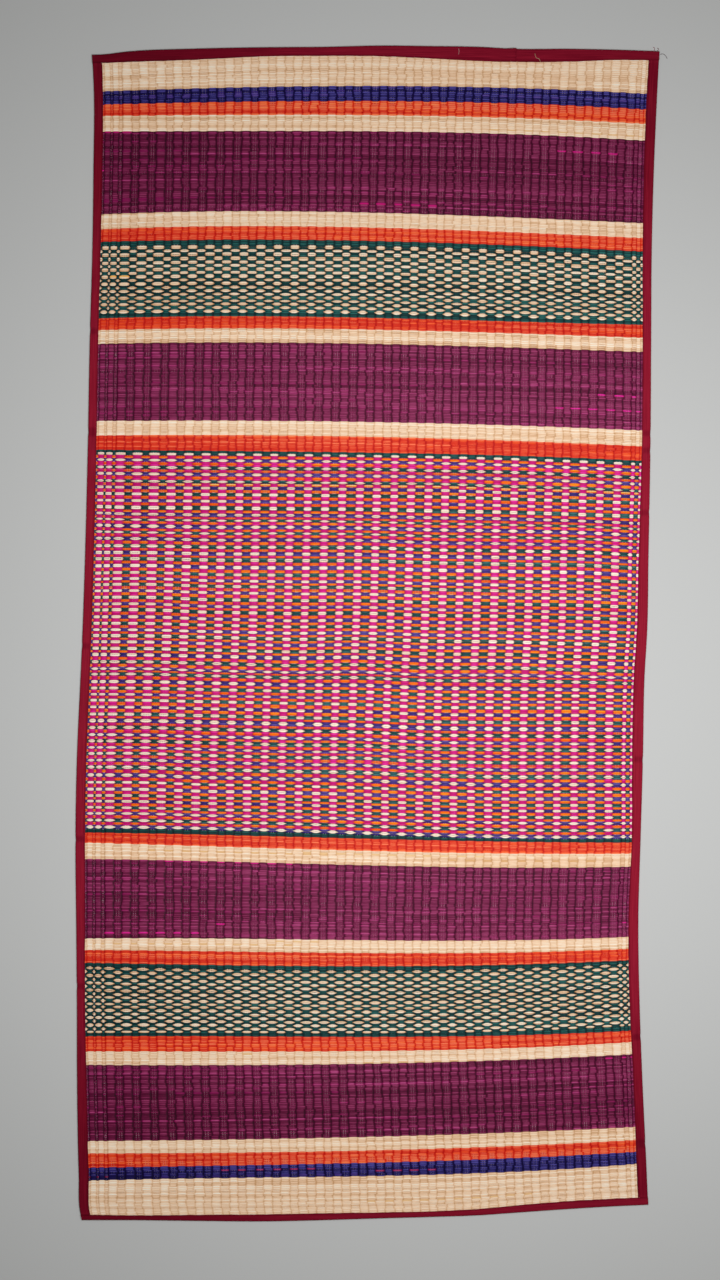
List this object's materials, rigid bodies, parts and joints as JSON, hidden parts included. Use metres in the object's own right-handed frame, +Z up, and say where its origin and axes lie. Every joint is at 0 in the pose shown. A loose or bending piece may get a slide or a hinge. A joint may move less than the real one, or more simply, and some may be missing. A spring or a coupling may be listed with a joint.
{
  "type": "korai grass mat",
  "caption": "Flat woven korai grass mat with coloured stripes and checker bands across its width, bound all round with a folded cloth tape.",
  "frame": {"origin": "on the floor under the middle of the mat", "axes": "+Z up, +Y along the mat's long side towards its top end, +X across it to the right"},
  "size_m": [0.9278, 1.8681, 0.004],
  "materials": {
    "korai_grass": "woven grass, dyed in stripes, half gloss",
    "binding_tape": "matt cotton tape"
  },
  "bodies": {
    "root": {"woven_mat": "korai_grass", "tape_left": "binding_tape", "tape_right": "binding_tape", "tape_top_long": "binding_tape", "tape_top_short": "binding_tape", "tape_bottom": "binding_tape"}
  },
  "joints": []
}
